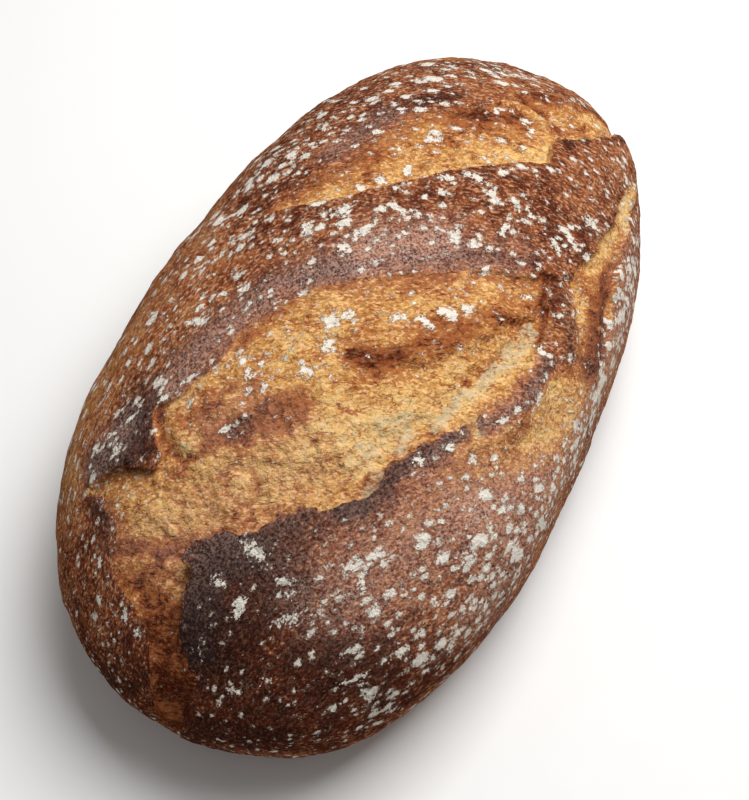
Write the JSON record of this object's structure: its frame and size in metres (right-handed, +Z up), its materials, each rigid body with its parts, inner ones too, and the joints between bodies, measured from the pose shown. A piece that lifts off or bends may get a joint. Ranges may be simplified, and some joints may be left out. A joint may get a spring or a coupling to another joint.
{
  "type": "sourdough loaf",
  "caption": "Long oval sourdough loaf, domed above and flat below, with slanting slashes that opened into raised lips and a wide ragged tear.",
  "frame": {"origin": "on the surface the loaf rests on, under the middle of its length and width", "axes": "+X along the loaf towards its narrower end, +Y across it, +Z up from the flat base"},
  "size_m": [0.2864, 0.1664, 0.0953],
  "materials": {
    "crust": "satin, browned bread crust with flour"
  },
  "bodies": {
    "root": {"loaf": "crust"}
  },
  "joints": []
}
